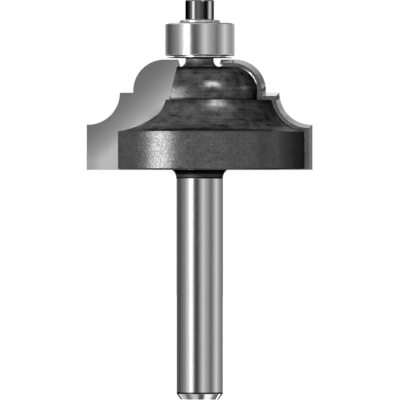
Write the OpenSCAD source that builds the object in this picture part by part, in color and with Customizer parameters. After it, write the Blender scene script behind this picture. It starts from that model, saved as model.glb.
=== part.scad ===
// Ogee router bit with a ball-bearing guide: a two-flute form cutter with brazed carbide tips.
// The bit stands on the end of its shank. The origin is the centre of that end face, and +Z runs up
// the axis to the guide bearing. Tip 1 is on the -X side and its face looks towards -Y.

/* [Shank] */
// Diameter of the shank
shank_d = 6.35; // [6:0.05:8]
// Length of the shank from its end to the underside of the head
shank_len = 31.25; // [25:0.05:45]
// Radial width of the chamfer at the end of the shank
shank_chamfer_w = 0.56; // [0.2:0.01:0.9]
// Height of the chamfer at the end of the shank
shank_chamfer_h = 0.76; // [0.3:0.01:1.5]
// Radius of the concave flare that joins the shank to the head
flare_r = 1.35; // [1.15:0.01:2]
// Height of that flare
flare_h = 1.14; // [0.5:0.01:1.15]

/* [Cutting profile] */
// Cutting diameter at the rim
cut_d = 30.7; // [28:0.1:36]
// Height of the straight cutting edge at the rim
rim_h = 6.13; // [3:0.01:12]
// How far the centre of the cove lies inside the cutting radius
cove_shift = 0.15; // [0:0.01:0.6]
// Radius of the quarter-round cove
cove_r = 4.35; // [3.5:0.01:5.3]
// Width of the flat step between the cove and the bead
step_w = 1.82; // [1.1:0.01:2.2]
// Height of the straight foot of the bead above the step
bead_foot_h = 0.27; // [0.1:0.01:1]
// Radius of the quarter-round bead
bead_r = 4.24; // [3.5:0.01:4.5]

/* [Chip-limiting body] */
// How far the steel body stays inside the cutting profile
body_inset = 1.0; // [0.7:0.01:1.15]
// Chamfer on the lower edge of the body's rim
rim_chamfer = 0.2; // [0.05:0.01:0.4]

/* [Gullets] */
// Width of each gullet, from the tip's face to the heel wall
gullet_w = 9.15; // [7.5:0.05:10]
// Distance of the gullet's floor from the axis, at the top of the body
gullet_floor_r = 3.06; // [2.95:0.01:3.4]
// Tilt of the gullet's floor from the axis, in degrees
gullet_tilt = 13.8; // [8:0.1:18]
// Corner radius between the floor and the heel wall
gullet_corner_r = 1.2; // [0.5:0.1:3]

/* [Carbide tips] */
// Thickness of each tip
tip_t = 1.8; // [1.4:0.05:2.2]
// How much deeper than the gullet's floor the tip is let in
tip_seat_depth = 0.45; // [0.2:0.01:0.5]
// Width of the slanted corner at the inner end of the tip's top
tip_corner_w = 0.27; // [0.1:0.01:0.5]
// Relief angle of the profile towards the axis, in degrees
relief_radial = 15.5; // [12:0.1:20]
// Relief angle of the profile towards the shank, in degrees
relief_axial = 14; // [10:0.1:18]
// Relief angle of the tip's inner end, in degrees
relief_end = 16.5; // [8:0.1:20]

/* [Neck and stub] */
// Diameter of the neck under the guide bearing
neck_d = 3.82; // [3.5:0.01:4.1]
// Fillet radius at the foot of the neck
neck_fillet_r = 0.9; // [0.5:0.01:1.05]
// Height of the neck above the top of the tips
neck_rise = 0.21; // [0.15:0.01:0.8]
// Clearance between the stub and the bearing's bore, on the diameter
stub_fit = 0.02; // [0.01:0.01:0.04]
// How far the stub's end stays below the top of the bearing
stub_drop = 0.2; // [0.1:0.01:0.6]
// Chamfer at the end of the stub
stub_chamfer = 0.12; // [0.05:0.01:0.25]

/* [Washers] */
// Outer diameter of the dust washer
dust_washer_d = 8.84; // [8:0.01:9.2]
// Thickness of the dust washer
dust_washer_t = 0.14; // [0.12:0.01:0.4]
// Width of the slope on the dust washer's upper side
dust_slope_w = 0.9; // [0.3:0.01:1.2]
// Thickness of the dust washer's thin edge
dust_edge_t = 0.05; // [0.03:0.01:0.1]
// Outer diameter of the shim washer
shim_d = 7.2; // [6:0.01:7.4]
// Thickness of the shim washer
shim_t = 0.13; // [0.1:0.01:0.4]
// Clearance of the washers on the stub, on the diameter
washer_fit = 0.1; // [0.05:0.01:0.2]
// Outer diameter of the clamp washer
clamp_washer_d = 5.55; // [5.1:0.01:5.8]
// Thickness of the clamp washer
clamp_washer_t = 0.42; // [0.3:0.01:0.8]
// Rounding of the clamp washer's edges
clamp_washer_round = 0.1; // [0.05:0.01:0.14]

/* [Guide bearing] */
// Outer diameter of the guide bearing
bearing_d = 9.525; // [9.3:0.005:10]
// Bore of the guide bearing
bearing_bore = 3.175; // [3.1:0.005:3.25]
// Width of the guide bearing
bearing_w = 4.49; // [4:0.01:5.5]
// Corner rounding of the outer ring
outer_round = 0.18; // [0.12:0.01:0.35]
// Corner rounding of the inner ring
inner_round = 0.15; // [0.05:0.01:0.25]
// Gap between the shoulders of the two rings
shoulder_gap = 1.2; // [1.1:0.01:1.25]
// Diameter of the balls
ball_d = 1.5875; // [1.5:0.0005:1.65]
// Running clearance between a ball and its races
race_gap = 0.03; // [0.02:0.005:0.05]

/* [Cage] */
// Thickness of the cage strip
cage_t = 0.16; // [0.12:0.01:0.2]
// Radial width of the cage strip
cage_w = 0.8; // [0.6:0.01:0.9]
// Clearance between a ball and its cage pocket
pocket_gap = 0.04; // [0.03:0.01:0.06]

/* [Shields] */
// Depth of the step in the outer ring that the shield sits on
shield_depth = 0.5; // [0.45:0.01:0.7]
// Radial width of that step
shield_seat_w = 0.4; // [0.3:0.01:0.45]
// Thickness of the shield
shield_t = 0.18; // [0.12:0.01:0.25]
// Gap between the shield and the inner ring
shield_gap = 0.1; // [0.06:0.01:0.2]
// Wire diameter of the shield's snap ring
clip_d = 0.26; // [0.2:0.01:0.3]
// Opening of the snap ring, in degrees
clip_opening = 28; // [15:1:60]
// Clearance of the shield and its snap ring in the outer ring
shield_fit = 0.01; // [0.005:0.005:0.03]

/* [Clamp screw] */
// Diameter of the screw's head
screw_head_d = 3.9; // [3.6:0.01:4.6]
// Height of the screw's head
screw_head_h = 2.7; // [2:0.01:3.2]
// Chamfer on the top edge of the head
screw_chamfer = 0.16; // [0.05:0.01:0.3]
// Diameter of the screw's thread
screw_d = 2.18; // [2:0.01:2.3]
// Length of the screw under its head
screw_len = 6.35; // [5.5:0.05:8]
// Width across flats of the hex socket
socket_af = 1.98; // [1.5:0.01:2.2]
// Depth of the hex socket
socket_depth = 1.5; // [1:0.01:1.9]
// How far the chamfer at the socket's mouth reaches past its corners
socket_lead = 0.05; // [0.02:0.01:0.2]
// Clearance of the screw in its hole and in the clamp washer, on the diameter
screw_fit = 0.02; // [0.01:0.01:0.06]
// Depth of the hole below the end of the screw
hole_spare = 0.8; // [0.3:0.05:1.5]

/* [Hidden] */
$fn = 96;
// How far a cutting shape runs past the face that it opens
past = shank_d * 0.2;
// Drill point angle of the screw hole and the hex socket
drill_point = 118;
// Number of balls in the guide bearing
ball_count = 7;

shank_r = shank_d / 2;
head_z = shank_len;
flare_w = flare_r - sqrt(flare_r * flare_r - flare_h * flare_h);

cut_r = cut_d / 2;
cove_centre_r = cut_r - cove_shift;
step_z = head_z + rim_h + cove_r;
bead_out_r = cove_centre_r - cove_r - step_w;
bead_centre_r = bead_out_r - bead_r;
bead_centre_z = step_z + bead_foot_h;
cut_top_z = bead_centre_z + bead_r;
body_top_z = cut_top_z - body_inset;

neck_r = neck_d / 2;
neck_top_z = cut_top_z + neck_rise;
dust_washer_z = neck_top_z;
shim_z = dust_washer_z + dust_washer_t;
bearing_z = shim_z + shim_t;
bearing_mid_z = bearing_z + bearing_w / 2;
clamp_washer_z = bearing_z + bearing_w;
screw_head_z = clamp_washer_z + clamp_washer_t;
stub_r = (bearing_bore - stub_fit) / 2;
stub_top_z = clamp_washer_z - stub_drop;
washer_bore_r = (bearing_bore + washer_fit) / 2;

outer_r = bearing_d / 2;
bore_r = bearing_bore / 2;
pitch_r = (outer_r + bore_r) / 2;
inner_shoulder_r = pitch_r - shoulder_gap / 2;
outer_shoulder_r = pitch_r + shoulder_gap / 2;
ball_r = ball_d / 2;
race_r = ball_r + race_gap;
pocket_r = ball_r + pocket_gap;
shield_seat_r = outer_shoulder_r + shield_seat_w;
clip_r = shield_seat_r;
clip_z = shield_depth - shield_t - clip_d / 2;

screw_r = screw_d / 2;
screw_hole_r = (screw_d + screw_fit) / 2;
hole_bottom_z = screw_head_z - screw_len - hole_spare;
socket_r = socket_af / 2 / cos(30);

// Distance of the gullet's floor from the axis at a height z.
function floor_r(z) = gullet_floor_r + (body_top_z - z) * tan(gullet_tilt);

// Half section of the head, in radius and height: rim, cove, step and bead, drawn inset by a margin.
module head_outline(inset, foot_z) {
    difference() {
        union() {
            translate([0, foot_z])
                square([cut_r - inset, step_z - inset - foot_z]);
            translate([0, foot_z])
                square([bead_out_r - inset, bead_centre_z - foot_z]);
            translate([0, foot_z])
                square([bead_centre_r, cut_top_z - inset - foot_z]);
            translate([bead_centre_r, bead_centre_z])
                circle(bead_r - inset);
        }
        translate([cove_centre_r, step_z])
            circle(cove_r + inset);
    }
}

// Rectangle in radius and height with its four corners rounded.
module rounded_section(r0, r1, z0, z1, corner) {
    translate([r0 + corner, z0])
        square([r1 - r0 - 2 * corner, z1 - z0]);
    translate([r0, z0 + corner])
        square([r1 - r0, z1 - z0 - 2 * corner]);
    for (r = [r0 + corner, r1 - corner], z = [z0 + corner, z1 - corner])
        translate([r, z])
            circle(corner);
}

module ring(r0, r1, z0, z1) {
    difference() {
        translate([0, 0, z0])
            cylinder(r = r1, h = z1 - z0);
        translate([0, 0, z0 - past])
            cylinder(r = r0, h = z1 - z0 + 2 * past);
    }
}

// Places a shape drawn for the tip on the +X side at both tips.
module both_sides() {
    for (side = [0, 180])
        rotate([0, 0, side])
            children();
}

// Turns a drawing in radius and height upright, and gives it a depth away from the tip's face.
module behind_face(depth) {
    rotate([90, 0, 0])
        linear_extrude(height = depth)
            children();
}

// The cutting profile carried back from the tip's face, shrinking by the two relief angles.
module relieved_profile(depth) {
    multmatrix([
        [1, tan(relief_radial), 0, 0],
        [0, 1, 0, 0],
        [0, tan(relief_axial), 1, 0],
        [0, 0, 0, 1]
    ])
        behind_face(depth)
            head_outline(0, head_z - past);
}

// All that lies outside the inner end of a tip. The end follows the floor of the gullet, let in below
// it, leans outward above the top of the body, and is relieved the other way from the profile.
module outside_inner_end(foot_z) {
    lean = tip_corner_w / body_inset;
    multmatrix([
        [1, -tan(relief_end), 0, 0],
        [0, 1, 0, 0],
        [0, 0, 1, 0],
        [0, 0, 0, 1]
    ])
        behind_face(tip_t)
            polygon([
                [floor_r(foot_z) - tip_seat_depth, foot_z],
                [cut_r + past, foot_z],
                [cut_r + past, cut_top_z + past],
                [gullet_floor_r - tip_seat_depth + lean * (body_inset + past), cut_top_z + past],
                [gullet_floor_r - tip_seat_depth, body_top_z]
            ]);
}

// The shank, flare, head, neck and stub as they come off the lathe.
module turned_blank() {
    rotate_extrude() {
        polygon([
            [0, 0],
            [shank_r - shank_chamfer_w, 0],
            [shank_r, shank_chamfer_h],
            [shank_r, head_z],
            [0, head_z]
        ]);
        difference() {
            translate([0, head_z - flare_h])
                square([shank_r + flare_w, flare_h]);
            translate([shank_r + flare_r, head_z - flare_h])
                circle(flare_r);
        }
        difference() {
            head_outline(body_inset, head_z);
            translate([cut_r - body_inset, head_z])
                rotate(45)
                    square(rim_chamfer * sqrt(2), center = true);
        }
        difference() {
            translate([0, body_top_z - past])
                square([neck_r + neck_fillet_r, neck_fillet_r + past]);
            translate([neck_r + neck_fillet_r, body_top_z + neck_fillet_r])
                circle(neck_fillet_r);
        }
        translate([0, body_top_z])
            square([neck_r, neck_top_z - body_top_z]);
        polygon([
            [0, body_top_z],
            [stub_r, body_top_z],
            [stub_r, stub_top_z - stub_chamfer],
            [stub_r - stub_chamfer, stub_top_z],
            [0, stub_top_z]
        ]);
    }
}

// Section of the gullet across its length: the floor is at the left and the heel wall at the top.
module gullet_section() {
    reach = cut_r * 2;
    square([reach, gullet_w - gullet_corner_r]);
    translate([gullet_corner_r, 0])
        square([reach, gullet_w]);
    translate([gullet_corner_r, gullet_w - gullet_corner_r])
        circle(gullet_corner_r);
}

module gullet() {
    run = cut_top_z - head_z + cut_r;
    translate([gullet_floor_r, 0, body_top_z])
        rotate([0, -gullet_tilt, 0])
            translate([0, 0, -run])
                linear_extrude(height = run + past / 2)
                    gullet_section();
}

module screw_hole() {
    translate([0, 0, hole_bottom_z])
        cylinder(r = screw_hole_r, h = stub_top_z - hole_bottom_z + past);
    point_h = screw_hole_r / tan(drill_point / 2);
    translate([0, 0, hole_bottom_z - point_h])
        cylinder(r1 = 0, r2 = screw_hole_r, h = point_h);
}

module cutter_body() {
    color("dimgray")
        difference() {
            turned_blank();
            both_sides() {
                gullet();
                outside_inner_end(head_z - past);
            }
            screw_hole();
        }
}

module carbide_tip(side) {
    color("lightgray")
        rotate([0, 0, side])
            intersection() {
                relieved_profile(tip_t);
                outside_inner_end(head_z);
            }
}

module carbide_tip_1() {
    carbide_tip(180);
}

module carbide_tip_2() {
    carbide_tip(0);
}

module dust_washer() {
    dust_r = dust_washer_d / 2;
    color("black")
        translate([0, 0, dust_washer_z])
            rotate_extrude()
                polygon([
                    [washer_bore_r, 0],
                    [dust_r, 0],
                    [dust_r, dust_edge_t],
                    [dust_r - dust_slope_w, dust_washer_t],
                    [washer_bore_r, dust_washer_t]
                ]);
}

module shim_washer() {
    color("silver")
        ring(washer_bore_r, shim_d / 2, shim_z, shim_z + shim_t);
}

module bearing_inner_ring() {
    color("silver")
        translate([0, 0, bearing_z])
            rotate_extrude()
                difference() {
                    rounded_section(bore_r, inner_shoulder_r, 0, bearing_w, inner_round);
                    translate([pitch_r, bearing_w / 2])
                        circle(race_r);
                }
}

// Step for a shield and groove for its snap ring, cut into one face of the outer ring.
module shield_seat() {
    translate([0, -past])
        square([shield_seat_r, shield_depth + past]);
    translate([clip_r, clip_z])
        circle(clip_d / 2 + shield_fit);
}

module bearing_outer_ring() {
    color("silver")
        translate([0, 0, bearing_z])
            rotate_extrude()
                difference() {
                    rounded_section(outer_shoulder_r, outer_r, 0, bearing_w, outer_round);
                    translate([pitch_r, bearing_w / 2])
                        circle(race_r);
                    shield_seat();
                    translate([0, bearing_w])
                        mirror([0, 1])
                            shield_seat();
                }
}

module bearing_ball(number) {
    color("gainsboro")
        rotate([0, 0, (number - 1) * 360 / ball_count])
            translate([pitch_r, 0, bearing_mid_z])
                sphere(ball_r);
}

// Stamped half of the cage, drawn below the middle of the bearing: a flat strip with a cup for each ball.
module cage_half() {
    cup_r = pocket_r + cage_t;
    difference() {
        intersection() {
            union() {
                ring(pitch_r - cage_w / 2, pitch_r + cage_w / 2, -cage_t, 0);
                for (number = [1 : ball_count])
                    rotate([0, 0, (number - 1) * 360 / ball_count])
                        translate([pitch_r, 0, 0])
                            sphere(cup_r);
            }
            ring(pitch_r - cage_w / 2, pitch_r + cage_w / 2, -cup_r - past, 0);
        }
        for (number = [1 : ball_count])
            rotate([0, 0, (number - 1) * 360 / ball_count])
                translate([pitch_r, 0, 0])
                    sphere(pocket_r);
    }
}

module cage_lower_half() {
    color("darkgray")
        translate([0, 0, bearing_mid_z])
            cage_half();
}

module cage_upper_half() {
    color("darkgray")
        translate([0, 0, bearing_mid_z])
            mirror([0, 0, 1])
                cage_half();
}

// Shield and snap ring, drawn for the lower face of a bearing that stands at z = 0.
module shield() {
    ring(inner_shoulder_r + shield_gap, shield_seat_r - shield_fit, shield_depth - shield_t, shield_depth);
}

module shield_clip() {
    rotate([0, 0, clip_opening / 2])
        rotate_extrude(angle = 360 - clip_opening)
            translate([clip_r, clip_z])
                circle(clip_d / 2);
}

module at_upper_face() {
    translate([0, 0, bearing_z + bearing_w])
        mirror([0, 0, 1])
            children();
}

module shield_lower() {
    color("gray")
        translate([0, 0, bearing_z])
            shield();
}

module shield_upper() {
    color("gray")
        at_upper_face()
            shield();
}

module shield_clip_lower() {
    color("dimgray")
        translate([0, 0, bearing_z])
            shield_clip();
}

module shield_clip_upper() {
    color("dimgray")
        at_upper_face()
            shield_clip();
}

module clamp_washer() {
    color("silver")
        rotate_extrude()
            difference() {
                rounded_section(screw_r / 2, clamp_washer_d / 2, clamp_washer_z,
                    clamp_washer_z + clamp_washer_t, clamp_washer_round);
                translate([0, clamp_washer_z - past])
                    square([screw_hole_r, clamp_washer_t + 2 * past]);
            }
}

module clamp_screw() {
    head_r = screw_head_d / 2;
    point_h = socket_af / 2 / tan(drill_point / 2);
    mouth_r = socket_r + socket_lead;
    color("black")
        difference() {
            translate([0, 0, screw_head_z])
                rotate_extrude()
                    polygon([
                        [0, -screw_len],
                        [screw_r - screw_chamfer, -screw_len],
                        [screw_r, -screw_len + screw_chamfer],
                        [screw_r, 0],
                        [head_r, 0],
                        [head_r, screw_head_h - screw_chamfer],
                        [head_r - screw_chamfer, screw_head_h],
                        [0, screw_head_h]
                    ]);
            translate([0, 0, screw_head_z + screw_head_h - socket_depth]) {
                cylinder(r = socket_r, h = socket_depth + past, $fn = 6);
                translate([0, 0, -point_h])
                    cylinder(r1 = 0, r2 = socket_af / 2, h = point_h);
                translate([0, 0, socket_depth - mouth_r])
                    cylinder(r1 = 0, r2 = mouth_r + past, h = mouth_r + past);
            }
        }
}

cutter_body();
carbide_tip_1();
carbide_tip_2();
dust_washer();
shim_washer();
bearing_inner_ring();
bearing_outer_ring();
bearing_ball(1);  // bearing_ball_1
bearing_ball(2);  // bearing_ball_2
bearing_ball(3);  // bearing_ball_3
bearing_ball(4);  // bearing_ball_4
bearing_ball(5);  // bearing_ball_5
bearing_ball(6);  // bearing_ball_6
bearing_ball(7);  // bearing_ball_7
cage_lower_half();
cage_upper_half();
shield_lower();
shield_upper();
shield_clip_lower();
shield_clip_upper();
clamp_washer();
clamp_screw();
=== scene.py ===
import math

import bmesh
import bpy
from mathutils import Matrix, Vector


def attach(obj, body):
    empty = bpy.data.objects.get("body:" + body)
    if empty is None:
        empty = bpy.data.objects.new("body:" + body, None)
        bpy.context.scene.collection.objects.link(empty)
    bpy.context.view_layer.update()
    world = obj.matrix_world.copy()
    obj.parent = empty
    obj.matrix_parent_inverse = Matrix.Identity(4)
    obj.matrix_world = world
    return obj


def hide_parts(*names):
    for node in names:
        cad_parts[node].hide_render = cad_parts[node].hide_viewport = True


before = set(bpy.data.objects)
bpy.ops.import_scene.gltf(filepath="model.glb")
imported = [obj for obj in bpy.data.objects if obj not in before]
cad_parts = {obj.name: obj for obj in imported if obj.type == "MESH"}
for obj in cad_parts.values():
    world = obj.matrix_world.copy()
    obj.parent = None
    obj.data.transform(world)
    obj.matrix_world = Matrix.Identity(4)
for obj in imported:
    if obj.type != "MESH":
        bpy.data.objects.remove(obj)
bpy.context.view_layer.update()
MM = 0.001

# The camera stands level in front of the first tip's face, far off behind a long lens, so the bit shows
# square on and almost without perspective. The picture is as wide as the bit is tall.
view_width = 54.4 * MM
eye_height = 27.14 * MM
axis_offset = 0.054 * MM
lens_length = 1200
sensor_width = 36
camera_distance = view_width * lens_length / sensor_width
bpy.ops.object.camera_add()
camera = bpy.context.object
camera.name = "camera"
camera.data.lens = lens_length
camera.data.sensor_width = sensor_width
camera.location = (axis_offset, -camera_distance, eye_height)
camera.rotation_euler = (math.radians(90), 0, 0)
bpy.context.scene.camera = camera


# The studio is a tent that the world holds, so that its light is soft. A softbox stands at the left
# front, another hangs high at the right front, and lamps below and grey panels fill the rest. The gaps
# show as the dark bands in the polished steel. What the camera sees straight on is plain white.
def grey(level):
    return (level, level, level, 1)


def fill_ramp(elements, stops):
    """Gives a new ramp, which has two elements, its (position, brightness) stops."""
    elements.remove(elements[1])
    first_position, first_level = stops[0]
    elements[0].position = first_position
    elements[0].color = grey(first_level)
    for position, level in stops[1:]:
        elements.new(position).color = grey(level)


class Wire:
    """A shader socket. Arithmetic on it adds Math nodes, and node() adds any other node to its tree."""

    def __init__(self, tree, socket=None):
        self.tree = tree
        self.socket = socket

    def node(self, kind, settings=None, sockets=None, output=0):
        made = self.tree.nodes.new("ShaderNode" + kind)
        for name, value in (settings or {}).items():
            if name == "stops":
                fill_ramp(made.color_ramp.elements, value)
            else:
                setattr(made, name, value)
        for name, value in (sockets or {}).items():
            if isinstance(value, Wire):
                self.tree.links.new(value.socket, made.inputs[name])
            else:
                made.inputs[name].default_value = value
        return Wire(self.tree, made.outputs[output] if made.outputs else None)

    def math(self, operation, first, second=0.0):
        return self.node("Math", {"operation": operation}, {0: first, 1: second})

    def __add__(self, other):
        return self.math("ADD", self, other)

    def __radd__(self, other):
        return self.math("ADD", other, self)

    def __sub__(self, other):
        return self.math("SUBTRACT", self, other)

    def __rsub__(self, other):
        return self.math("SUBTRACT", other, self)

    def __mul__(self, other):
        return self.math("MULTIPLY", self, other)

    def __rmul__(self, other):
        return self.math("MULTIPLY", other, self)

    def __truediv__(self, other):
        return self.math("DIVIDE", self, other)

    def step(self, low, high):
        """0 below low, 1 above high and smooth between them."""
        settings = {"interpolation_type": "SMOOTHSTEP"}
        return self.node("MapRange", settings, {"Value": self, "From Min": low, "From Max": high})

    def window(self, low, high, soft):
        """1 between low and high, with edges that are soft wide."""
        return self.step(low - soft, low) * (1 - self.step(high, high + soft))

    def blend(self, other, share):
        """This value where share is 0, and the other where it is 1."""
        return self + (other - self) * share

    def darker(self, by, where):
        """This value, less the share that by gives where the mask is 1."""
        return self * (1 - by * where)


world = bpy.data.worlds.new("studio")
bpy.context.scene.world = world
world.use_nodes = True
world.node_tree.nodes.clear()
studio = Wire(world.node_tree)
direction = studio.node("TexCoord", output="Generated")
east = studio.node("SeparateXYZ", sockets={0: direction}, output="X")
north = studio.node("SeparateXYZ", sockets={0: direction}, output="Y")
up = studio.node("SeparateXYZ", sockets={0: direction}, output="Z")
bearing = studio.math("ARCTAN2", east, 0 - north) * math.degrees(1)
turn = bearing / 360 + 0.5
height = studio.math("ARCSINE", up) * math.degrees(1)


def shown_around(stops):
    """Brightness around the axis, from (degrees, brightness) pairs, with 0 degrees at the camera."""
    stops = [(degrees / 360 + 0.5, level) for degrees, level in stops]
    return studio.node("ValToRGB", {"stops": stops}, {0: turn})


def panel(bearings, heights, soft):
    """1 on a panel, from its degrees around the axis and above eye level and its soft edges in both."""
    return bearing.window(*bearings, soft[0]) * height.window(*heights, soft[1])


# What polished upright steel shows, at eye level. A ramp holds no more than 32 stops.
level_stops = [
    (-180, 0.5), (-177, 3.0), (-166, 3.0), (-160, 0.45), (-142, 0.36), (-129, 0.13), (-115, 0.11),
    (-87, 0.28), (-74, 0.46), (-67, 0.68), (-61, 0.95), (-55, 0.75), (-51, 1.2), (-44, 2.0), (-38, 1.3),
    (-34, 0.9), (-29, 0.5), (-24, 0.14), (-18, 0.04), (-10, 0.06), (-4, 0.18), (1, 0.32), (9, 0.63),
    (18, 0.93), (29, 0.63), (50, 0.3), (58, 0.17), (67, 0.32), (92, 1.0), (103, 0.7), (127, 0.42),
    (156, 0.6),
]
level_band, level_band_soft = (-4.2, 1.2), 1.3
# At the right, the tent's foot leaves a gap just below eye level.
gap_bearings, gap_soft, gap_heights, gap_shade = (102, 136), 6, (-2, -1), 0.8
# What the screw's head shows. It reflects as if its flank leant back, so this strip rises at the front.
screw_stops = [
    (-180, 0.0), (-110, 0.0), (-94, 0.08), (-83, 0.57), (-72, 1.1), (-63, 2.8), (-55, 9.5), (-45, 4.5),
    (-36, 0.8), (-28, 0.6), (-12, 1.15), (4, 0.65), (20, 0.33), (36, 0.05), (58, 0.0), (66, 0.1),
    (74, 1.1), (83, 3.4), (94, 6.0), (106, 2.9), (120, 0.9), (134, 0.0), (180, 0.0),
]
screw_strip_rise, screw_strip_half, screw_strip_soft = 14, 1.0, 0.8
# What the rest of the tent shows, and what lies below eye level and under the table's edge.
tent_stops = [
    (-180, 0.55), (-162, 0.6), (-156, 3.0), (-146, 3.0), (-138, 0.45), (-105, 1.1), (-97, 1.9),
    (-86, 1.9), (-80, 1.0), (-60, 1.2), (-33, 2.2), (-18, 2.2), (-8, 2.0), (10, 1.6), (13, 0.8), (46, 1.1),
    (49, 1.9), (65, 1.8), (69, 0.6), (90, 0.15), (101, 0.02), (150, 0.02), (165, 0.5), (180, 0.55),
]
low_stops = [
    (-180, 0.5), (-165, 0.9), (-150, 0.5), (-140, 0.8), (-137, 5.0), (-127, 5.0), (-122, 0.8),
    (-105, 0.25), (-85, 0.3), (-70, 0.9), (-53, 1.4), (-49, 5.5), (-41, 5.5), (-37, 1.6), (-27, 0.85),
    (-19, 0.38), (-12, 0.14), (-4, 0.08), (5, 0.5), (17, 1.0), (32, 0.7), (50, 0.25), (64, 0.3), (95, 1.0),
    (110, 0.4), (127, 0.35), (131, 5.0), (141, 5.0), (147, 0.9), (165, 0.3), (180, 0.5),
]
low_edge_heights = (-13, -8)
table_stops = [
    (-180, 0.5), (-135, 0.9), (-120, 0.85), (-105, 0.25), (-92, 0.25), (-66, 0.85), (-35, 0.85),
    (-5, 0.2), (25, 0.12), (42, 0.2), (62, 1.5), (90, 1.5), (112, 0.3), (140, 0.2), (180, 0.5),
]
table_edge_heights = (-34, -29)
ceiling_level, ceiling_heights = 0.85, (45, 65)
left_softbox_level, right_softbox_level = 22.0, 14.0
front_panel_level, front_panel_rise, front_panel_rise_heights = 0.45, 0.3, (25, 40)
right_panel_level, back_panel_level = 0.36, 0.9

tent = shown_around(tent_stops).darker(by=0.2, where=height.step(12, 60))
tent = tent.blend(ceiling_level, height.step(*ceiling_heights))
tent = tent.blend(shown_around(low_stops), 1 - height.step(*low_edge_heights))
tent = tent.blend(shown_around(table_stops), 1 - height.step(*table_edge_heights))
front_panel = front_panel_level + front_panel_rise * height.step(*front_panel_rise_heights)
tent = tent.blend(front_panel, panel(bearings=(-60, 60), heights=(12, 50), soft=(15, 6)))
tent = tent.blend(right_panel_level, panel(bearings=(72, 128), heights=(20, 45), soft=(10, 6)))
left_softbox = left_softbox_level * panel(bearings=(-51, -38), heights=(-10, 2), soft=(9, 5))
right_softbox = right_softbox_level * panel(bearings=(20, 34), heights=(20, 36), soft=(7, 6))
back_panel = back_panel_level * (1 - bearing.window(-140, 140, soft=8)) * height.window(6, 46, soft=6)
tent = tent + left_softbox + right_softbox + back_panel
half_bearing = bearing * math.radians(0.5)
screw_height = height - screw_strip_rise * studio.math("COSINE", half_bearing)
screw_strip = screw_height.window(-screw_strip_half, screw_strip_half, screw_strip_soft)
tent = tent.blend(shown_around(screw_stops), screw_strip)
gap = bearing.window(*gap_bearings, gap_soft) * (1 - height.step(*gap_heights))
level = shown_around(level_stops).darker(by=gap_shade, where=gap)
seen = tent.blend(level, height.window(*level_band, level_band_soft))
is_camera = studio.node("LightPath", output="Is Camera Ray")
tent_light = studio.node("Background", sockets={"Color": seen, "Strength": 1.0})
white = studio.node("Background", sockets={"Color": grey(1), "Strength": 1.0})
shown = studio.node("MixShader", sockets={0: is_camera, 1: tent_light, 2: white})
studio.node("OutputWorld", sockets={"Surface": shown})

# The floor is a pale sheet that the bit stands on. It is lifted to white for the camera and keeps the
# bit's soft shadow. The steel reflects the tent past it.
floor_size = 4.0
floor_tone = 0.8
floor_lift = 0.6
bpy.ops.mesh.primitive_plane_add(size=floor_size)
floor = bpy.context.object
floor.name = "floor"
floor.visible_glossy = False
floor.visible_shadow = False


def empty_material(name):
    """A new material with an empty node tree, and the wire that adds nodes to it."""
    material = bpy.data.materials.new(name)
    material.use_nodes = True
    material.node_tree.nodes.clear()
    return material, Wire(material.node_tree)


pale_floor, wire = empty_material("pale_floor")
is_camera = wire.node("LightPath", output="Is Camera Ray")
sheet = wire.node("BsdfDiffuse", sockets={"Color": grey(floor_tone)})
lift = wire.node("Emission", sockets={"Color": grey(1), "Strength": is_camera * floor_lift})
both = wire.node("AddShader", sockets={0: sheet, 1: lift})
wire.node("OutputMaterial", sockets={"Surface": both})
floor.data.materials.append(pale_floor)

# The cutter's body is one piece of tool steel. It is turned all over, the two gullets are milled into the
# head, the head and neck get a charcoal coat, and the shank is ground bright afterwards.
shank_groove_z = 0.895
coat_end_z = 30.04
rim_bottom_z = 31.25
rim_top_z = 36.45
step_face_z = 40.73
neck_foot_z = 45.0
neck_top_z = 46.45
# Each finish and form starts and ends gradually, between two heights or two radii.
coat_starts_z = (coat_end_z - 0.03, coat_end_z + 0.03)
flare_ends_z, flare_ends_r = (rim_bottom_z, rim_bottom_z + 0.02), (4.2, 4.4)
mottling_starts_z = (rim_top_z - 0.05, rim_top_z + 0.1)
cove_foot_z = (rim_top_z + 0.05, rim_top_z + 0.5)
step_ends_z = (step_face_z + 0.02, step_face_z + 0.06)
dome_ends_r = (8.4, 8.6)
neck_starts_z, neck_ends_r = (neck_foot_z, neck_foot_z + 0.3), (4.0, 5.0)
coat_stops_z = (neck_top_z, neck_top_z + 0.02)
# Dark lines and painted shade, from the shank up, with the share by which each is darker. All of them but
# the line where the coat ends are painted shade.
groove_z, groove_painted_shade = (shank_groove_z - 0.09, shank_groove_z + 0.09), 0.97
coat_end_line_z, coat_end_line_shade = (coat_end_z + 0.02, coat_end_z + 0.17), 0.95
flare_shadow_z, flare_painted_shade, flare_painted_shadow = (30.5, 30.8), 0.45, 0.51
cove_foot_line_z, cove_foot_line_painted_shade = (rim_top_z - 0.17, rim_top_z + 0.25), 0.2
under_step_z, under_step_painted_shade = (39.8, 40.6), 0.45
step_line_z, step_line_painted_shade = (step_face_z - 0.02, step_face_z + 0.2), 0.6
dome_wall_z, dome_wall_painted_shade = (41.0, 42.0), 0.26
under_washer_z, under_washer_painted_shade = (neck_top_z - 0.2, neck_top_z - 0.1), 0.85
# The coat's tone and roughness, how mottling changes them, and how deep its marks are.
coat_level, mottled_level_drop, darkest_level = 0.094, 0.012, 0.015
coat_roughness_level, mottled_roughness_rise = 0.22, 0.07
streak_depth, blotch_depth, plain_marks = 1.6, 2.4, 0.2
grain_depth, mottled_grain_drop = 1.8, 0.8
# The neck is lighter as painted light and duller than the rest; the flare is rougher; the cove's foot a
# bit dull.
neck_painted_light, neck_roughness_rise, neck_metal_drop = 1.3, 0.15, 0.65
flare_roughness_rise, cove_foot_metal_drop = 0.35, 0.12
# The ground shank and stub, and how far the coat's streaks and the ground lines stand out.
bright_level, bright_roughness = 0.62, 0.075
streak_relief, line_relief = 0.6, 0.02


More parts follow.
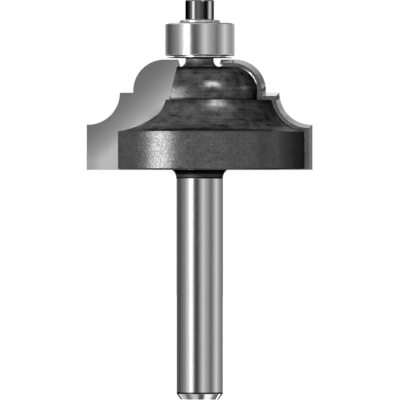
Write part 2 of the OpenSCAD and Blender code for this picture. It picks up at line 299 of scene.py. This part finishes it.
def object_mm(wire):
    """Object coordinates in mm, as one vector and as x, y and z."""
    place = wire.node("TexCoord", output="Object")
    place = wire.node("VectorMath", {"operation": "SCALE"}, {0: place, "Scale": 1 / MM})
    x = wire.node("SeparateXYZ", sockets={0: place}, output="X")
    y = wire.node("SeparateXYZ", sockets={0: place}, output="Y")
    z = wire.node("SeparateXYZ", sockets={0: place}, output="Z")
    return place, x, y, z


def from_axis(wire, x, y):
    """The distance from the axis in mm. It stays just above 0, so that it can divide."""
    return wire.math("SQRT", x * x + y * y) + 0.001


def turned(wire, x, y, z, spread=2.5, pitch=4.0):
    """Coordinates that vary slowly around the axis and fast along the turned profile."""
    radius = from_axis(wire, x, y)
    sockets = {"X": x / radius * spread, "Y": y / radius * spread, "Z": (z - radius) * pitch}
    return wire.node("CombineXYZ", sockets=sockets)


def noise(wire, vector, scale, detail):
    """Noise from about 0.25 to 0.75, with scale as features to the mm."""
    sockets = {"Vector": vector, "Scale": scale, "Detail": detail}
    return wire.node("TexNoise", sockets=sockets)


def varied(level, pattern, spread):
    """A level that a noise pattern moves up and down."""
    return level + (pattern - 0.5) * spread


def bumps(wire, relief, strength, depth, over=None):
    """A normal that follows a relief of depth mm, over another normal where one is given."""
    sockets = {"Strength": strength, "Distance": depth * MM, "Height": relief}
    if over is not None:
        sockets["Normal"] = over
    return wire.node("Bump", sockets=sockets)


def metal_shader(wire, tone, roughness, normal, metallic=1.0, edge_tint=1.0):
    """Ends a material with its shader. The tone is the same in red, green and blue."""
    shader = wire.node("BsdfPrincipled", sockets={
        "Base Color": wire.node("CombineXYZ", sockets={"X": tone, "Y": tone, "Z": tone}),
        "Metallic": metallic,
        "Roughness": roughness,
        "Specular Tint": grey(edge_tint),
        "Normal": normal,
    })
    wire.node("OutputMaterial", sockets={"Surface": shader})


def charcoal_coat(wire, place, around_axis, mottled):
    """The coat's tone and roughness, and its grain and streaks, which a relief can use.

    It has blotches and turned streaks where it is mottled, and grain all over.
    """
    streaks = noise(wire, around_axis, scale=1.0, detail=3.0)
    blotches = noise(wire, place, scale=0.9, detail=4.0)
    grain = noise(wire, place, scale=5.5, detail=2.0)
    marks = (streaks - 0.5) * streak_depth + (blotches - 0.5) * blotch_depth
    marks = marks * (plain_marks + (1 - plain_marks) * mottled)
    marks = marks + (grain - 0.5) * (grain_depth - mottled_grain_drop * mottled)
    tone = (coat_level - mottled_level_drop * mottled) * (1 + marks)
    tone = wire.math("MAXIMUM", tone, darkest_level)
    roughness = varied(coat_roughness_level + mottled_roughness_rise * mottled, grain, spread=0.12)
    return tone, roughness, grain, streaks


def coated_steel():
    """Charcoal coat on the head and neck, ground steel on the shank and the stub."""
    material, wire = empty_material("coated_steel")
    place, x, y, z = object_mm(wire)
    radius = from_axis(wire, x, y)
    around_axis = turned(wire, x, y, z)
    bright = (1 - z.step(*coat_starts_z)) + z.step(*coat_stops_z)
    coated = 1 - bright
    above_rim = z.step(*mottling_starts_z)
    flare = (1 - z.step(*flare_ends_z)) * (1 - radius.step(*flare_ends_r))
    cove_foot = z.window(*cove_foot_z, soft=0.3)
    under_step = z.step(*under_step_z) * (1 - z.step(*step_ends_z))
    dome = 1 - radius.step(*dome_ends_r)
    neck = z.step(*neck_starts_z) * (1 - radius.step(*neck_ends_r))

    coat_tone, coat_roughness, grain, streaks = charcoal_coat(wire, place, around_axis, above_rim)
    # Painted shade: the flare under the rim, the crease at the cove's foot, the step's corner and the band
    # under it, the dome's wall and the neck under the washer are darker.
    flare_painted_darkness = flare_painted_shade + flare_painted_shadow * z.step(*flare_shadow_z)
    coat_tone = coat_tone.darker(by=flare_painted_darkness, where=flare)
    # Painted light: the neck's tone is lifted.
    coat_tone = coat_tone * (1 + neck_painted_light * neck)
    coat_tone = coat_tone.darker(by=coat_end_line_shade, where=z.window(*coat_end_line_z, soft=0.02))
    coat_tone = coat_tone.darker(by=step_line_painted_shade, where=z.window(*step_line_z, soft=0.03) * dome)
    coat_tone = coat_tone.darker(by=dome_wall_painted_shade, where=z.window(*dome_wall_z, soft=0.6) * dome)
    coat_tone = coat_tone.darker(by=cove_foot_line_painted_shade, where=z.window(*cove_foot_line_z, soft=0.12))
    coat_tone = coat_tone.darker(by=under_step_painted_shade, where=under_step)
    coat_tone = coat_tone.darker(by=under_washer_painted_shade, where=z.step(*under_washer_z))
    coat_roughness = coat_roughness + neck_roughness_rise * neck + flare_roughness_rise * flare

    lines = noise(wire, around_axis, scale=3.0, detail=2.0)
    steel_tone = varied(bright_level, lines, spread=0.08)
    # Painted shade: the shank's groove is darker.
    steel_tone = steel_tone.darker(by=groove_painted_shade, where=z.window(*groove_z, soft=0.03))
    steel_roughness = varied(bright_roughness, lines, spread=0.04)
    relief = grain * coated + streaks * above_rim * coated * streak_relief + lines * bright * line_relief
    metal_shader(
        wire,
        tone=coat_tone.blend(steel_tone, bright),
        roughness=coat_roughness.blend(steel_roughness, bright),
        normal=bumps(wire, relief, strength=0.24, depth=0.006),
        metallic=1 - (neck_metal_drop * neck + cove_foot_metal_drop * cove_foot) * coated,
        edge_tint=0.3,
    )
    return material


def dress(node, material):
    """Gives a carried-over piece its finish."""
    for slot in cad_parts[node].material_slots:
        slot.material = material


dress("cutter_body", coated_steel())

# The tips are flat plates of tungsten carbide, brazed into the gullets before the head is coated. The face
# and the relieved profile are ground bright afterwards, and the back keeps the coat.
tip_foot_z = 31.3
tip_thickness = 1.8
face_ends, back_starts = (0.02, 0.05), (tip_thickness - 0.06, tip_thickness - 0.02)
# The relief is lighter beside the step, and lighter still on the flat top beside the neck: both are
# painted light.
cove_relief_z, cove_relief_painted_light = (39.2, 42.3), 0.42
top_flat_starts_z, top_flat_ends_x = (45.6, 45.9), (4.3, 4.7)
top_flat_painted_light, top_flat_metal_drop = 0.5, 0.95
carbide_level, carbide_roughness = 0.36, 0.16
face_roughness_rise, back_roughness_rise = 0.05, 0.1
grind_stretch = (1.0, 1.0, 14.0)
# The face reflects as if it leant outwards, most near its foot, and less with each mm further out and
# each mm up from its even foot. It also leans down a little all over.
face_lean_start, face_lean_most = 0.5246, 0.212
face_lean_drop_out, face_lean_drop_up = 0.02128, 0.022895
face_even_foot = 1.2
face_lean_down = 0.14


def leaning_normal(wire, lean):
    """The surface's own normal, leant by a vector."""
    flat = wire.node("NewGeometry", output="Normal")
    leaning = wire.node("VectorMath", {"operation": "ADD"}, {0: flat, 1: lean})
    return wire.node("VectorMath", {"operation": "NORMALIZE"}, {0: leaning})


def ground_carbide():
    """Ground carbide on the face and the relief, and the coat on the back."""
    material, wire = empty_material("ground_carbide")
    place, x, y, z = object_mm(wire)
    out = wire.math("ABSOLUTE", x)
    behind = wire.math("ABSOLUTE", y)
    stretched = wire.node("Mapping", sockets={0: place, "Scale": grind_stretch})
    grind = noise(wire, stretched, scale=1.0, detail=3.0)
    grain = noise(wire, place, scale=9.0, detail=2.0)
    around_axis = turned(wire, x, y, z)
    coat_tone, coat_roughness = charcoal_coat(wire, place, around_axis, mottled=0.3)[:2]
    face = 1 - behind.step(*face_ends)
    back = behind.step(*back_starts)
    relief = (1 - face) * (1 - back)
    cove_relief = relief * z.window(*cove_relief_z, soft=0.9)
    top_flat = relief * z.step(*top_flat_starts_z) * (1 - out.step(*top_flat_ends_x))
    # Painted light: the relief's tone is lifted beside the step and on the flat top beside the neck.
    ground_tone = carbide_level + cove_relief_painted_light * cove_relief + top_flat_painted_light * top_flat
    ground_tone = varied(varied(ground_tone, grain, spread=0.05), grind, spread=0.03)
    ground_roughness = varied(carbide_roughness + face_roughness_rise * face, grind, spread=0.04)
    up_face = wire.math("MAXIMUM", z - tip_foot_z, face_even_foot)
    lean = face_lean_start - face_lean_drop_out * out - face_lean_drop_up * up_face
    lean = wire.math("MINIMUM", lean, face_lean_most) * face
    side = wire.math("SIGN", x)
    lean = wire.node("CombineXYZ", sockets={"X": side * lean, "Y": 0.0, "Z": -face_lean_down * face})
    metal_shader(
        wire,
        tone=ground_tone.blend(coat_tone, back),
        roughness=ground_roughness.blend(coat_roughness + back_roughness_rise, back),
        normal=bumps(wire, grind + grain, strength=0.2, depth=0.003, over=leaning_normal(wire, lean)),
        metallic=1 - top_flat_metal_drop * top_flat,
        edge_tint=0.6,
    )
    return material


carbide = ground_carbide()
for tip in ("carbide_tip_1", "carbide_tip_2"):
    dress(tip, carbide)

# The braze shows as a thin silver fillet in the corner between each tip's back and the head. It follows
# the head's outline up the rim, the cove, the step and the bead, and the coat hides it below the bead.
braze_leg = 0.11
braze_lip = 0.01
sunk_in_head, sunk_in_tip = 0.08, 0.06
# The fillet's hollow front, as shares of its leg.
hollow_front = [(0.62, 0.08), (0.3, 0.3), (0.08, 0.62)]
# It starts thin at each end, has its full leg after this many points, and is a little wavy.
thin_end, thinning_points = 0.2, 5
waviness, wave_rates = 0.15, (1.7, 0.6)
rim_radius, rim_heights = 14.35, [31.6 + 0.575 * step for step in range(9)]
cove_radius, cove_centre_r, cove_centre_z = 5.35, 15.2, 41.73
cove_angles = range(77, 11, -6)
step_radii = [9.5 - 0.4 * step for step in range(4)]
dome_heights = [41.0 + 0.35 * step for step in range(3)]
bead_radius, bead_centre_r, bead_centre_z = 3.24, 4.79, 42.0
bead_angles = range(0, 78, 6)
silver_z, silver_patches = (43.1, 44.9), (0.3, 0.42)
silver_level, silver_roughness, coated_roughness_rise = 0.66, 0.28, 0.15


def arc(centre_r, centre_z, radius, angles):
    """Points along an arc of the outline. A hollow arc has a radius below 0."""
    points = []
    for degrees in angles:
        across, along = math.cos(math.radians(degrees)), math.sin(math.radians(degrees))
        points.append((centre_r + radius * across, centre_z + radius * along, across, along))
    return points


def head_corner():
    """Points up the head's outline, each as radius, height and the two parts of the outward normal."""
    dome_radius = bead_centre_r + bead_radius
    points = [(rim_radius, height, 1.0, 0.0) for height in rim_heights]
    points += arc(cove_centre_r, cove_centre_z, -cove_radius, cove_angles)
    points += [(radius, step_face_z, 0.0, 1.0) for radius in step_radii]
    points += [(dome_radius, step_face_z, 0.7, 0.7)]
    points += [(dome_radius, height, 1.0, 0.0) for height in dome_heights]
    points += arc(bead_centre_r, bead_centre_z, bead_radius, bead_angles)
    return points


def braze_rings():
    """The fillet's sections along the corner, in mm."""
    corner = head_corner()
    rings = []
    for number, (radius, height, across, along) in enumerate(corner):
        from_end = min(number, len(corner) - 1 - number)
        leg = braze_leg * min(1, thin_end + from_end / thinning_points)
        leg *= 1 + waviness * math.sin(wave_rates[0] * number) * math.sin(wave_rates[1] * number)
        section = [(-sunk_in_head, -sunk_in_tip), (leg, -sunk_in_tip), (leg, braze_lip)]
        section += [(away * leg, behind * leg) for away, behind in hollow_front]
        section += [(braze_lip, leg), (-sunk_in_head, leg)]
        ring = []
        for away, behind in section:
            depth = tip_thickness + behind
            x = math.sqrt(radius ** 2 - depth ** 2) + away * across
            ring.append(Vector((x, -depth, height + away * along)))
        rings.append(ring)
    return rings


def swept_bar(name, rings):
    """A closed bar through rings of points in mm, from a cylinder whose sides are cut into lengths."""
    sides, lengths = len(rings[0]), len(rings) - 1
    bpy.ops.object.select_all(action="DESELECT")
    bpy.ops.mesh.primitive_cylinder_add(vertices=sides, radius=1, depth=lengths)
    bar = bpy.context.object
    bar.name = name
    bpy.ops.object.mode_set(mode="EDIT")
    bpy.ops.mesh.select_mode(type="EDGE")
    bpy.ops.mesh.select_all(action="DESELECT")
    shape = bmesh.from_edit_mesh(bar.data)
    for edge in shape.edges:
        low, high = edge.verts
        edge.select_set(abs(low.co.z - high.co.z) > lengths / 2)
    bpy.ops.mesh.subdivide(number_cuts=lengths - 1)
    for vertex in shape.verts:
        # A quarter of a side keeps the rounding away from its ties.
        side = round(math.atan2(vertex.co.y, vertex.co.x) / (2 * math.pi / sides) - 0.25) % sides
        vertex.co = rings[round(vertex.co.z + lengths / 2)][side]
    bpy.ops.mesh.select_all(action="SELECT")
    bpy.ops.mesh.normals_make_consistent(inside=False)
    bpy.ops.object.mode_set(mode="OBJECT")
    return bar


def finish_piece(piece, material, body, smooth_angle=35):
    """Turns a piece made in mm into metres, its place in its mesh, and gives it its finish and body."""
    bpy.ops.object.select_all(action="DESELECT")
    piece.select_set(True)
    bpy.context.view_layer.objects.active = piece
    bpy.ops.object.transform_apply(location=True, rotation=True, scale=True)
    piece.scale = (MM, MM, MM)
    bpy.ops.object.transform_apply(location=True, rotation=True, scale=True)
    bpy.ops.object.shade_smooth_by_angle(angle=math.radians(smooth_angle))
    piece.data.materials.clear()
    piece.data.materials.append(material)
    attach(piece, body)


def silver_braze():
    """Silver braze with rough patches, which the coat covers outside silver_z."""
    material, wire = empty_material("silver_braze")
    place, x, y, z = object_mm(wire)
    around_axis = turned(wire, x, y, z)
    coat_tone, coat_roughness = charcoal_coat(wire, place, around_axis, mottled=0.5)[:2]
    patches = noise(wire, place, scale=2.0, detail=3.0)
    silver = z.window(*silver_z, soft=0.25) * patches.step(*silver_patches)
    metal_shader(
        wire,
        tone=coat_tone.blend(varied(silver_level, patches, spread=0.2), silver),
        roughness=(coat_roughness + coated_roughness_rise).blend(silver_roughness, silver),
        normal=bumps(wire, patches, strength=0.5, depth=0.01),
        edge_tint=0.3,
    )
    return material


braze_metal = silver_braze()
for number in (1, 2):
    braze = swept_bar(f"braze_fillet_{number}", braze_rings())
    braze.rotation_euler.z = math.radians(180 if number == 1 else 0)
    finish_piece(braze, braze_metal, "cutter")


# The washers are stamped from thin strip steel and sit on the stub. A blackened dust washer lies on the
# neck, a bright shim lies between it and the bearing, and a bright clamp washer lies on the bearing.
def turned_metal(name, tone, spread, roughness, lines_to_mm, taper=0.0, edge_tint=1.0, ground=None):
    """Metal with fine lines around the axis and faint spots, whose tone varies by spread.

    It reflects as if its flank leant back by taper. Where ground gives a lowest and a highest z, it is
    darker beyond them, as painted shade.
    """
    material, wire = empty_material(name)
    place, x, y, z = object_mm(wire)
    around_axis = turned(wire, x, y, z, spread=1.5, pitch=2.0)
    lines = noise(wire, around_axis, scale=lines_to_mm, detail=3.0)
    spots = noise(wire, place, scale=3.0, detail=3.0)
    level = varied(varied(tone, lines, spread), spots, spread)
    # Painted shade: the metal is darker beyond the given heights.
    if ground:
        level = level.darker(by=0.65, where=1 - z.window(*ground, soft=0.06))
    flank = leaning_normal(wire, (0.0, 0.0, taper)) if taper else None
    metal_shader(
        wire,
        tone=level,
        roughness=varied(roughness, lines, 0.5 * roughness),
        normal=bumps(wire, lines, strength=0.3, depth=0.0006, over=flank),
        edge_tint=edge_tint,
    )
    return material


dress("dust_washer", turned_metal(
    "black_washer_steel", tone=0.012, spread=0.008, roughness=0.35, lines_to_mm=3.0, edge_tint=0.2
))
dress("shim_washer", turned_metal(
    "bright_shim_steel", tone=0.85, spread=0.1, roughness=0.2, lines_to_mm=3.0
))
dress("clamp_washer", turned_metal(
    "bright_washer_steel", tone=0.5, spread=0.1, roughness=0.2, lines_to_mm=3.0
))

# The guide bearing has hardened and ground rings, seven polished balls in a pressed cage, and a shield at
# each side that a snap ring holds in the outer ring.
ball_count = 7
# The rings are ground between these heights, and their rounded corners beyond them are darker as painted
# shade.
ring_ground_unshaded_z = (46.9, 51.1)
ring_steel = turned_metal(
    "ground_ring_steel", tone=0.62, spread=0.03, roughness=0.07, lines_to_mm=4.0, ground=ring_ground_unshaded_z
)
for ring in ("bearing_outer_ring", "bearing_inner_ring"):
    dress(ring, ring_steel)
ball_steel = turned_metal("polished_ball_steel", tone=0.72, spread=0.02, roughness=0.05, lines_to_mm=1.0)
for number in range(1, ball_count + 1):
    dress(f"bearing_ball_{number}", ball_steel)
pressed_strip = turned_metal("pressed_cage_strip", tone=0.48, spread=0.08, roughness=0.3, lines_to_mm=2.0)
for half in ("cage_lower_half", "cage_upper_half"):
    dress(half, pressed_strip)
shield_sheet = turned_metal("shield_sheet", tone=0.42, spread=0.06, roughness=0.25, lines_to_mm=3.0)
spring_wire = turned_metal("spring_wire", tone=0.3, spread=0.06, roughness=0.2, lines_to_mm=2.0)
for side in ("lower", "upper"):
    dress(f"shield_{side}", shield_sheet)
    dress(f"shield_clip_{side}", spring_wire)

# The two halves of the cage are held together by seven small rivets, one between each two balls. Each is
# a soft steel pin with a domed head on both sides.
rivet_sides = 20
rivet_shaft_radius = 0.12
rivet_head_flare = 1.7
# The domed head rises in these steps, each with the share to which it narrows.
rivet_head_steps = [(0.04, 1.0), (0.035, 0.8), (0.02, 0.5)]
rivet_circle_radius = 3.175
cage_middle_z = 48.965
cage_strip_thickness = 0.16
# A face or an edge is picked when it lies this near to its height, in mm.
near = 0.01


def pick(piece, kind, wanted):
    """In edit mode, selects only the faces or the edges whose middle passes the test."""
    bpy.ops.mesh.select_mode(type=kind)
    bpy.ops.mesh.select_all(action="DESELECT")
    shape = bmesh.from_edit_mesh(piece.data)
    for part in shape.faces if kind == "FACE" else shape.edges:
        if wanted(sum((vertex.co for vertex in part.verts), Vector()) / len(part.verts)):
            part.select_set(True)
    bmesh.update_edit_mesh(piece.data)


def extrude(up, narrowing=1.0):
    """Extrudes what is selected by up mm and narrows or widens its end about the axis."""
    bpy.ops.mesh.extrude_region_move(TRANSFORM_OT_translate={"value": (0, 0, up)})
    if narrowing != 1.0:
        bpy.ops.transform.resize(value=(narrowing, narrowing, 1), center_override=(0, 0, 0))


def cage_rivet():
    bpy.ops.object.select_all(action="DESELECT")
    bpy.ops.mesh.primitive_cylinder_add(
        vertices=rivet_sides, radius=rivet_shaft_radius, depth=2 * cage_strip_thickness
    )
    rivet = bpy.context.object
    bpy.ops.object.mode_set(mode="EDIT")
    for side in (1, -1):
        pick(rivet, "FACE", lambda middle: middle.z * side > cage_strip_thickness - near)
        extrude(0.0, rivet_head_flare)
        for up, narrowing in rivet_head_steps:
            extrude(up * side, narrowing)
    bpy.ops.mesh.select_all(action="SELECT")
    bpy.ops.mesh.normals_make_consistent(inside=False)
    bpy.ops.object.mode_set(mode="OBJECT")
    rivet.location = (rivet_circle_radius, 0, cage_middle_z)
    bpy.ops.object.transform_apply(location=True, rotation=True, scale=True)
    return rivet


first_rivet = cage_rivet()
for number in range(ball_count):
    rivet = first_rivet.copy()
    rivet.data = first_rivet.data.copy()
    rivet.name = f"cage_rivet_{number + 1}"
    bpy.context.collection.objects.link(rivet)
    rivet.rotation_euler.z = math.radians((number + 0.5) * 360 / ball_count)
    finish_piece(rivet, pressed_strip, "cage")
bpy.data.objects.remove(first_rivet)

# The clamp screw is a small socket cap screw with a black oxide finish. Its head is turned with rounded
# edges, the hex socket is broached into a drilled hole, and the thread is rolled.
head_radius = 1.95
head_base_z, head_top_z = 51.63, 54.33
head_top_rounding, head_base_rounding = 0.14, 0.06
head_sides = 96
end_z, end_length, end_narrowing = 45.28, 0.25, 0.7
core_radius, crest_radius = 0.86, 1.085
thread_start_z = end_z + 0.45
thread_pitch, thread_turns, thread_steps = 0.4, 14, 24
crest_half_width, root_half_width = 0.04, 0.17
# The ridge is sunk this deep in the core, so that the two join.
root_sunk = 0.04
socket_width, socket_depth, socket_edge = 1.98, 1.5, 0.05
drill_point, drill_narrowing = 0.2, 0.5


def cut_or_join(piece, tool, operation):
    """Cuts the tool from the piece or joins it to the piece, and removes the tool."""
    change = piece.modifiers.new("change", "BOOLEAN")
    change.operation = operation
    change.solver = "EXACT"
    change.object = tool
    bpy.ops.object.select_all(action="DESELECT")
    bpy.context.view_layer.objects.active = piece
    piece.select_set(True)
    bpy.ops.object.modifier_apply(modifier=change.name)
    bpy.data.objects.remove(tool)


def on_head_base(middle):
    return abs(middle.z - head_base_z) < near and middle.xy.length > 0.9 * head_radius


def screw_blank():
    """The head and the plain shaft below it."""
    bpy.ops.object.select_all(action="DESELECT")
    middle_z = (head_base_z + head_top_z) / 2
    bpy.ops.mesh.primitive_cylinder_add(
        vertices=head_sides, radius=head_radius, depth=head_top_z - head_base_z, location=(0, 0, middle_z)
    )
    blank = bpy.context.object
    blank.name = "socket_cap_screw"
    bpy.ops.object.transform_apply(location=True, rotation=True, scale=True)
    bpy.ops.object.mode_set(mode="EDIT")
    pick(blank, "FACE", lambda middle: middle.z < head_base_z + near)
    bpy.ops.mesh.inset(thickness=head_radius - core_radius)
    extrude(end_z + end_length - head_base_z)
    extrude(-end_length, end_narrowing)
    pick(blank, "EDGE", lambda middle: middle.z > head_top_z - near)
    bpy.ops.mesh.bevel(offset=head_top_rounding, segments=4, affect="EDGES")
    pick(blank, "EDGE", on_head_base)
    bpy.ops.mesh.bevel(offset=head_base_rounding, segments=2, affect="EDGES")
    # Cuts just past the rounded edges keep the smooth shading there off the straight flank.
    for seam_z in (head_base_z + head_base_rounding + 2 * near, head_top_z - head_top_rounding - 2 * near):
        bpy.ops.mesh.select_all(action="SELECT")
        bpy.ops.mesh.bisect(plane_co=(0, 0, seam_z), plane_no=(0, 0, 1))
    bpy.ops.object.mode_set(mode="OBJECT")
    return blank


def socket_broach():
    """The hex that the socket is cut with, with the drill's point at its end."""
    corner_radius = socket_width / 2 / math.cos(math.radians(30))
    bpy.ops.object.select_all(action="DESELECT")
    bpy.ops.mesh.primitive_cylinder_add(
        vertices=6, radius=corner_radius, depth=2 * socket_depth,
        location=(0, 0, head_top_z), rotation=(0, 0, math.radians(30))
    )
    broach = bpy.context.object
    bpy.ops.object.transform_apply(location=True, rotation=True, scale=True)
    bpy.ops.object.mode_set(mode="EDIT")
    pick(broach, "FACE", lambda middle: middle.z < head_top_z - socket_depth + near)
    extrude(-drill_point, drill_narrowing)
    bpy.ops.object.mode_set(mode="OBJECT")
    return broach


def on_socket_edge(middle):
    from_edge = abs(middle.xy.length - socket_width / 2)
    return middle.z > head_top_z - near / 10 and from_edge < socket_edge + near


def rolled_thread():
    """The thread's ridge, as a four-cornered section that the screw modifier winds up the shaft."""
    bpy.ops.object.select_all(action="DESELECT")
    bpy.ops.mesh.primitive_plane_add(size=1)
    thread = bpy.context.object
    bpy.ops.object.mode_set(mode="EDIT")
    bpy.ops.mesh.delete(type="ONLY_FACE")
    shape = bmesh.from_edit_mesh(thread.data)
    for vertex in shape.verts:
        outside, above = vertex.co.x > 0, vertex.co.y > 0
        half_width = crest_half_width if outside else root_half_width
        radius = crest_radius if outside else core_radius - root_sunk
        vertex.co = (radius, 0, thread_start_z + (half_width if above else -half_width))
    bmesh.update_edit_mesh(thread.data)
    bpy.ops.object.mode_set(mode="OBJECT")
    turns = thread.modifiers.new("turns", "SCREW")
    turns.angle = math.radians(360)
    turns.screw_offset = thread_pitch
    turns.iterations = thread_turns
    turns.steps = thread_steps
    turns.render_steps = thread_steps
    bpy.ops.object.modifier_apply(modifier=turns.name)
    bpy.ops.object.mode_set(mode="EDIT")
    bpy.ops.mesh.select_all(action="SELECT")
    bpy.ops.mesh.remove_doubles(threshold=0.0005)
    bpy.ops.mesh.fill_holes(sides=0)
    bpy.ops.mesh.select_all(action="SELECT")
    bpy.ops.mesh.normals_make_consistent(inside=False)
    bpy.ops.object.mode_set(mode="OBJECT")
    return thread


black_screw_steel = turned_metal(
    "black_screw_steel", tone=0.12, spread=0.02, roughness=0.05, lines_to_mm=3.0,
    taper=0.123, edge_tint=0.1
)
clamp_screw = screw_blank()
cut_or_join(clamp_screw, socket_broach(), "DIFFERENCE")
cut_or_join(clamp_screw, rolled_thread(), "UNION")
bpy.ops.object.mode_set(mode="EDIT")
pick(clamp_screw, "EDGE", on_socket_edge)
bpy.ops.mesh.bevel(offset=socket_edge, segments=1, affect="EDGES")
bpy.ops.object.mode_set(mode="OBJECT")
finish_piece(clamp_screw, black_screw_steel, "cutter")
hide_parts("clamp_screw")

# Colours show as they are.
scene = bpy.context.scene
scene.view_settings.view_transform = "Standard"
